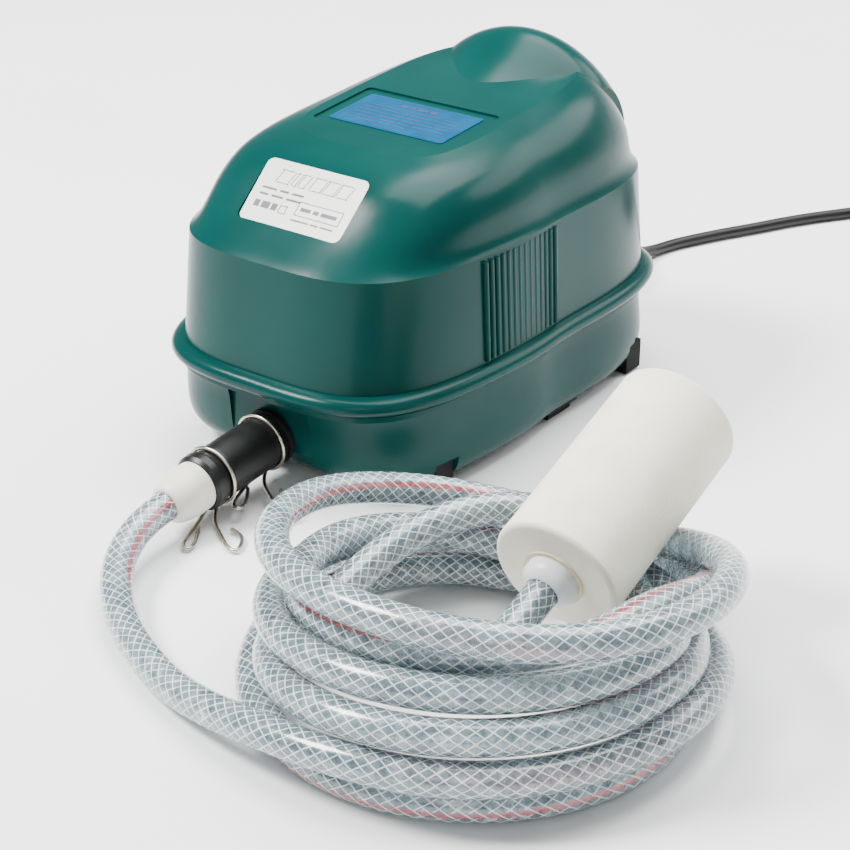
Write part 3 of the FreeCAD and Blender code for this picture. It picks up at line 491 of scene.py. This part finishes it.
def make_plug():
    """The plug's moulded body: round at the lead, flat and wide at the pins."""
    mesh = bmesh.new()
    turn = Matrix.Rotation(math.radians(PLUG_HEADING), 4, "Z")
    rings = []
    for k in range(int(PLUG_STATIONS[-1][0] / PLUG_RING_STEP) + 1):
        x = k * PLUG_RING_STEP
        wide, tall = plug_size(x)
        power = 1.0 - 0.36 * min(x / 18.0, 1.0)      # from a circle towards a rounded box
        ring = []
        for j in range(PLUG_SIDES):
            c = math.cos(2 * math.pi * j / PLUG_SIDES)
            s = math.sin(2 * math.pi * j / PLUG_SIDES)
            y = math.copysign(abs(c)**power, c) * wide
            z = math.copysign(abs(s)**power, s) * tall
            ring.append(mesh.verts.new((PLUG_ENTRY + turn @ Vector((x, y, z))) * MM))
        rings.append(ring)
    for low, high in zip(rings, rings[1:]):
        for j in range(PLUG_SIDES):
            after = (j + 1) % PLUG_SIDES
            mesh.faces.new((low[j], low[after], high[after], high[j])).smooth = True
    mesh.faces.new(list(reversed(rings[0])))
    mesh.faces.new(rings[-1])
    data = bpy.data.meshes.new("mains_plug")
    mesh.to_mesh(data)
    mesh.free()
    plug = link("mains_plug", data)
    wear(plug, "plug_plastic")
    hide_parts("plug_body")
    return plug


lead = soft_curve("mains_lead", CORD_RUN + reel_turns() + CORD_TAIL, CORD_RADIUS * MM)
wear(lead, "cord_black")
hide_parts("power_cord_run", "power_cord_coil", "power_cord_tail")
make_plug()


# ---- sprung wire clamps on the outlet sleeve ------------------------------------------
OUTLET = Vector((0.0, -98.2, 19.8))
OUTLET_TILT = math.radians(4.6)
CLAMP_REACH = 11.85          # of the wire's middle from the sleeve's axis
CLAMP_WIRE = 0.8             # radius
CLAMP_POINTS = 16
EAR_ROOT = 0.15              # radians from the bottom of the ring to where an ear leaves it
# The ears' points: x from the outlet's axis, y from the ear's root
EAR_RIGHT = [(4.7, -7.0), (17.8, -15.7), (23.9, -19.7), (28.2, -20.4), (28.0, -17.0),
             (24.5, -11.5), (20.4, -8.9), (15.9, -8.4)]
EAR_LEFT = [(0.8, -9.0), (6.4, -24.2), (9.7, -29.4), (12.6, -30.3), (13.0, -27.5),
            (10.1, -21.5), (4.6, -14.9)]


def outlet_point(out, up, side):
    """A point at a distance out along the outlet's axis, and up and to the side of it."""
    y = -out * math.cos(OUTLET_TILT) - up * math.sin(OUTLET_TILT)
    z = -out * math.sin(OUTLET_TILT) + up * math.cos(OUTLET_TILT)
    return OUTLET + Vector((side, y, z))


def add_spline(data, points, cyclic=False):
    spline = data.splines.new("NURBS")
    spline.points.add(len(points) - 1)
    for point, place in zip(spline.points, points):
        point.co = (*(Vector(place) * MM), 1.0)
    spline.order_u = 3
    spline.use_cyclic_u = cyclic
    spline.use_endpoint_u = not cyclic
    spline.resolution_u = 10


def make_clamp(name, out, ear_z):
    """One ring of wire, with two ears that lie forward as open loops."""
    data = bpy.data.curves.new(name, "CURVE")
    data.dimensions = "3D"
    data.bevel_depth = CLAMP_WIRE * MM
    data.bevel_resolution = 4
    data.use_fill_caps = True
    outset = CLAMP_REACH / math.sqrt(math.cos(math.pi / CLAMP_POINTS))
    ring = []
    for k in range(CLAMP_POINTS):
        turn = 2 * math.pi * k / CLAMP_POINTS
        ring.append(outlet_point(out, outset * math.cos(turn), outset * math.sin(turn)))
    add_spline(data, ring, cyclic=True)
    for ear, side in ((EAR_RIGHT, 1), (EAR_LEFT, -1)):
        down, across = CLAMP_REACH * math.cos(EAR_ROOT), CLAMP_REACH * math.sin(EAR_ROOT)
        root = outlet_point(out, -down, side * across)
        add_spline(data, [root] + [(x, root.y + y, ear_z) for x, y in ear])
    clamp = link(name + "_wire", data)
    wear(clamp, "wire_steel")
    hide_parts(name)


make_clamp("clamp_inner", 6.9, 6.0)
make_clamp("clamp_outer", 36.1, 1.4)


# ---- print on the two labels: plain rules and bars ------------------------------------
INK_THICK = 0.06
# Corners 0 to 3 run round the bottom and 4 to 7 round the top
BOX_FACES = ((4, 5, 6, 7), (0, 1, 5, 4), (1, 2, 6, 5), (2, 3, 7, 6), (3, 0, 4, 7), (3, 2, 1, 0))


def printed(name, centre, angle, marks, ink):
    """Flat marks, each (x, y, width, height, lean) in the label's own plane, in millimetres."""
    turn = Matrix.Rotation(math.radians(angle), 4, "X")
    mesh = bmesh.new()
    for x, y, width, height, lean in marks:
        corners = []
        for z in (0.0, INK_THICK):
            for u, v in ((-1, -1), (1, -1), (1, 1), (-1, 1)):
                spot = Vector((x + u * width / 2 + lean * v * height / 2, y + v * height / 2, z))
                corners.append(mesh.verts.new((centre + turn @ spot) * MM))
        for face in BOX_FACES:
            mesh.faces.new([corners[k] for k in face])
    data = bpy.data.meshes.new(name)
    mesh.to_mesh(data)
    mesh.free()
    thing = link(name, data, INK[ink])
    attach(thing, "pump")


def frame_marks(x, y, width, height, line):
    """The four sides of an outlined box."""
    half_w, half_h = (width - line) / 2, (height - line) / 2
    return [(x, y - half_h, width, line, 0), (x, y + half_h, width, line, 0),
            (x - half_w, y, line, height, 0), (x + half_w, y, line, height, 0)]


def word_marks(x, y, width, height, pattern, gap):
    """A row of short bars of uneven length, as blurred print looks."""
    total = sum(pattern) + gap * (len(pattern) - 1)
    marks = []
    at = x
    for part in pattern:
        long = part / total * width
        marks.append((at + long / 2, y, long, height, 0))
        at += long + gap / total * width
    return marks


FRONT_CENTRE = Vector((0.0, -75.3, 113.4))
FRONT_ANGLE = 42.0
FRONT_FACE_DEPTH = 0.59      # from that centre in to the label's face
TOP_SLOPE = 0.08
TOP_Y = -9.3
TOP_LEVEL = 130.4            # of the cover's top at y = 0
TOP_FACE_DEPTH = 0.49
PRINT_LINE = 0.35
BOX_LINE = 0.32


def print_front_label():
    """A row of empty outlined boxes over short bars and two more outlined boxes."""
    tilt = math.radians(FRONT_ANGLE)
    inwards = Vector((0.0, math.sin(tilt), -math.cos(tilt)))
    marks = []
    for x, width in ((-13.4, 6.2), (-7.6, 2.0), (-3.8, 3.4), (3.2, 5.6), (9.8, 5.6), (16.4, 5.6)):
        for side in (-1, 1):
            marks.append((x, 7.3 + side * 2.9, width, BOX_LINE, 0))
            marks.append((x + side * width / 2 + 0.1, 7.3, BOX_LINE, 5.8, 0.28))
    marks += word_marks(-21.5, 1.1, 21.0, 0.9, (5, 3, 4), 1.2)
    marks += word_marks(-21.5, -1.7, 21.0, 0.9, (3, 4, 5), 1.2)
    marks += word_marks(-21.5, -6.2, 11.5, 3.0, (2, 3, 2), 0.8)
    marks += frame_marks(-6.9, -6.4, 3.6, 3.6, PRINT_LINE)
    marks += frame_marks(10.2, -4.2, 22.0, 6.2, PRINT_LINE)
    marks += word_marks(1.0, -4.2, 18.0, 1.6, (4, 2, 6), 1.0)
    marks += word_marks(-1.0, -9.4, 21.0, 0.7, (7, 3, 5), 0.8)
    face = FRONT_CENTRE + inwards * FRONT_FACE_DEPTH
    printed("front_label_print", face, FRONT_ANGLE, marks, "dark")


def print_top_label():
    """An outline, a row of thick bars and six rows of thin ones, the last row shorter."""
    marks = frame_marks(0, 0, 55.0, 27.2, PRINT_LINE)
    marks += word_marks(-9.5, 9.6, 19.0, 2.4, (3, 2, 4, 3), 0.6)
    rows = ((6, 3, 8, 4), (4, 7, 5, 6), (8, 3, 4, 7), (5, 5, 7, 3), (7, 4, 3, 8), (3, 8, 5, 5))
    for k, pattern in enumerate(rows):
        width = 48.0 if k < 5 else 31.0
        marks += word_marks(-24.0, 5.6 - 3.1 * k, width, 0.75, pattern, 0.7)
    face = Vector((0.0, TOP_Y, TOP_LEVEL + TOP_SLOPE * TOP_Y - TOP_FACE_DEPTH))
    printed("top_label_print", face, math.degrees(math.atan(TOP_SLOPE)), marks, "navy")


print_front_label()
print_top_label()


# ---- floor and light ------------------------------------------------------------------
FLOOR_DROP = 0.0002          # metres below what stands on it
SWEEP_START = 1.0            # where the floor starts to curve up behind the object
SWEEP_LENGTH = 2.0
SWEEP_HEIGHT = 1.6


def make_floor():
    """A sheet of studio paper that curves up behind the object."""
    mesh = bmesh.new()
    rows = []
    for y in (-3.0, -1.0, 0.6, 1.4, 2.2, 2.8, 3.0):
        rise = 0.0 if y < SWEEP_START else ((y - SWEEP_START) / SWEEP_LENGTH) ** 2 * SWEEP_HEIGHT
        rows.append([mesh.verts.new((x, y, rise - FLOOR_DROP)) for x in (-4.0, -1.5, 0.0, 1.5, 4.0)])
    for low, high in zip(rows, rows[1:]):
        for k in range(4):
            mesh.faces.new((low[k], low[k + 1], high[k + 1], high[k])).smooth = True
    data = bpy.data.meshes.new("studio_floor")
    mesh.to_mesh(data)
    mesh.free()
    floor = link("studio_floor", data)
    data.materials.append(finish_of("studio_paper", (0.86, 0.865, 0.87), (0.9, 0.9, 0.9), (0.8, 0.95),
                                    scale=6.0, grain=300.0, strength=0.05))


make_floor()


def area_light(name, place, aim, size, power):
    data = bpy.data.lights.new(name, "AREA")
    data.shape = "RECTANGLE"
    data.size, data.size_y = size
    data.energy = power
    lamp = bpy.data.objects.new(name, data)
    bpy.context.scene.collection.objects.link(lamp)
    lamp.location = place
    lamp.rotation_euler = (Vector(aim) - Vector(place)).to_track_quat("-Z", "Y").to_euler()


area_light("key", (-0.8, -0.75, 1.35), (0.05, -0.05, 0.05), (0.55, 0.55), 72.0)
area_light("top", (0.0, 0.5, 1.7), (0.05, 0.0, 0.0), (1.5, 1.5), 85.0)
area_light("fill", (0.9, -1.6, 1.0), (0.08, -0.1, 0.03), (0.8, 0.8), 6.0)
area_light("back", (0.7, 1.4, 1.1), (0.0, 0.05, 0.08), (1.2, 0.6), 15.0)

world = bpy.data.worlds.new("studio")
world.use_nodes = True
sky = world.node_tree.nodes["Background"]
sky.inputs["Color"].default_value = (0.95, 0.97, 1.0, 1.0)
sky.inputs["Strength"].default_value = 0.3
bpy.context.scene.world = world
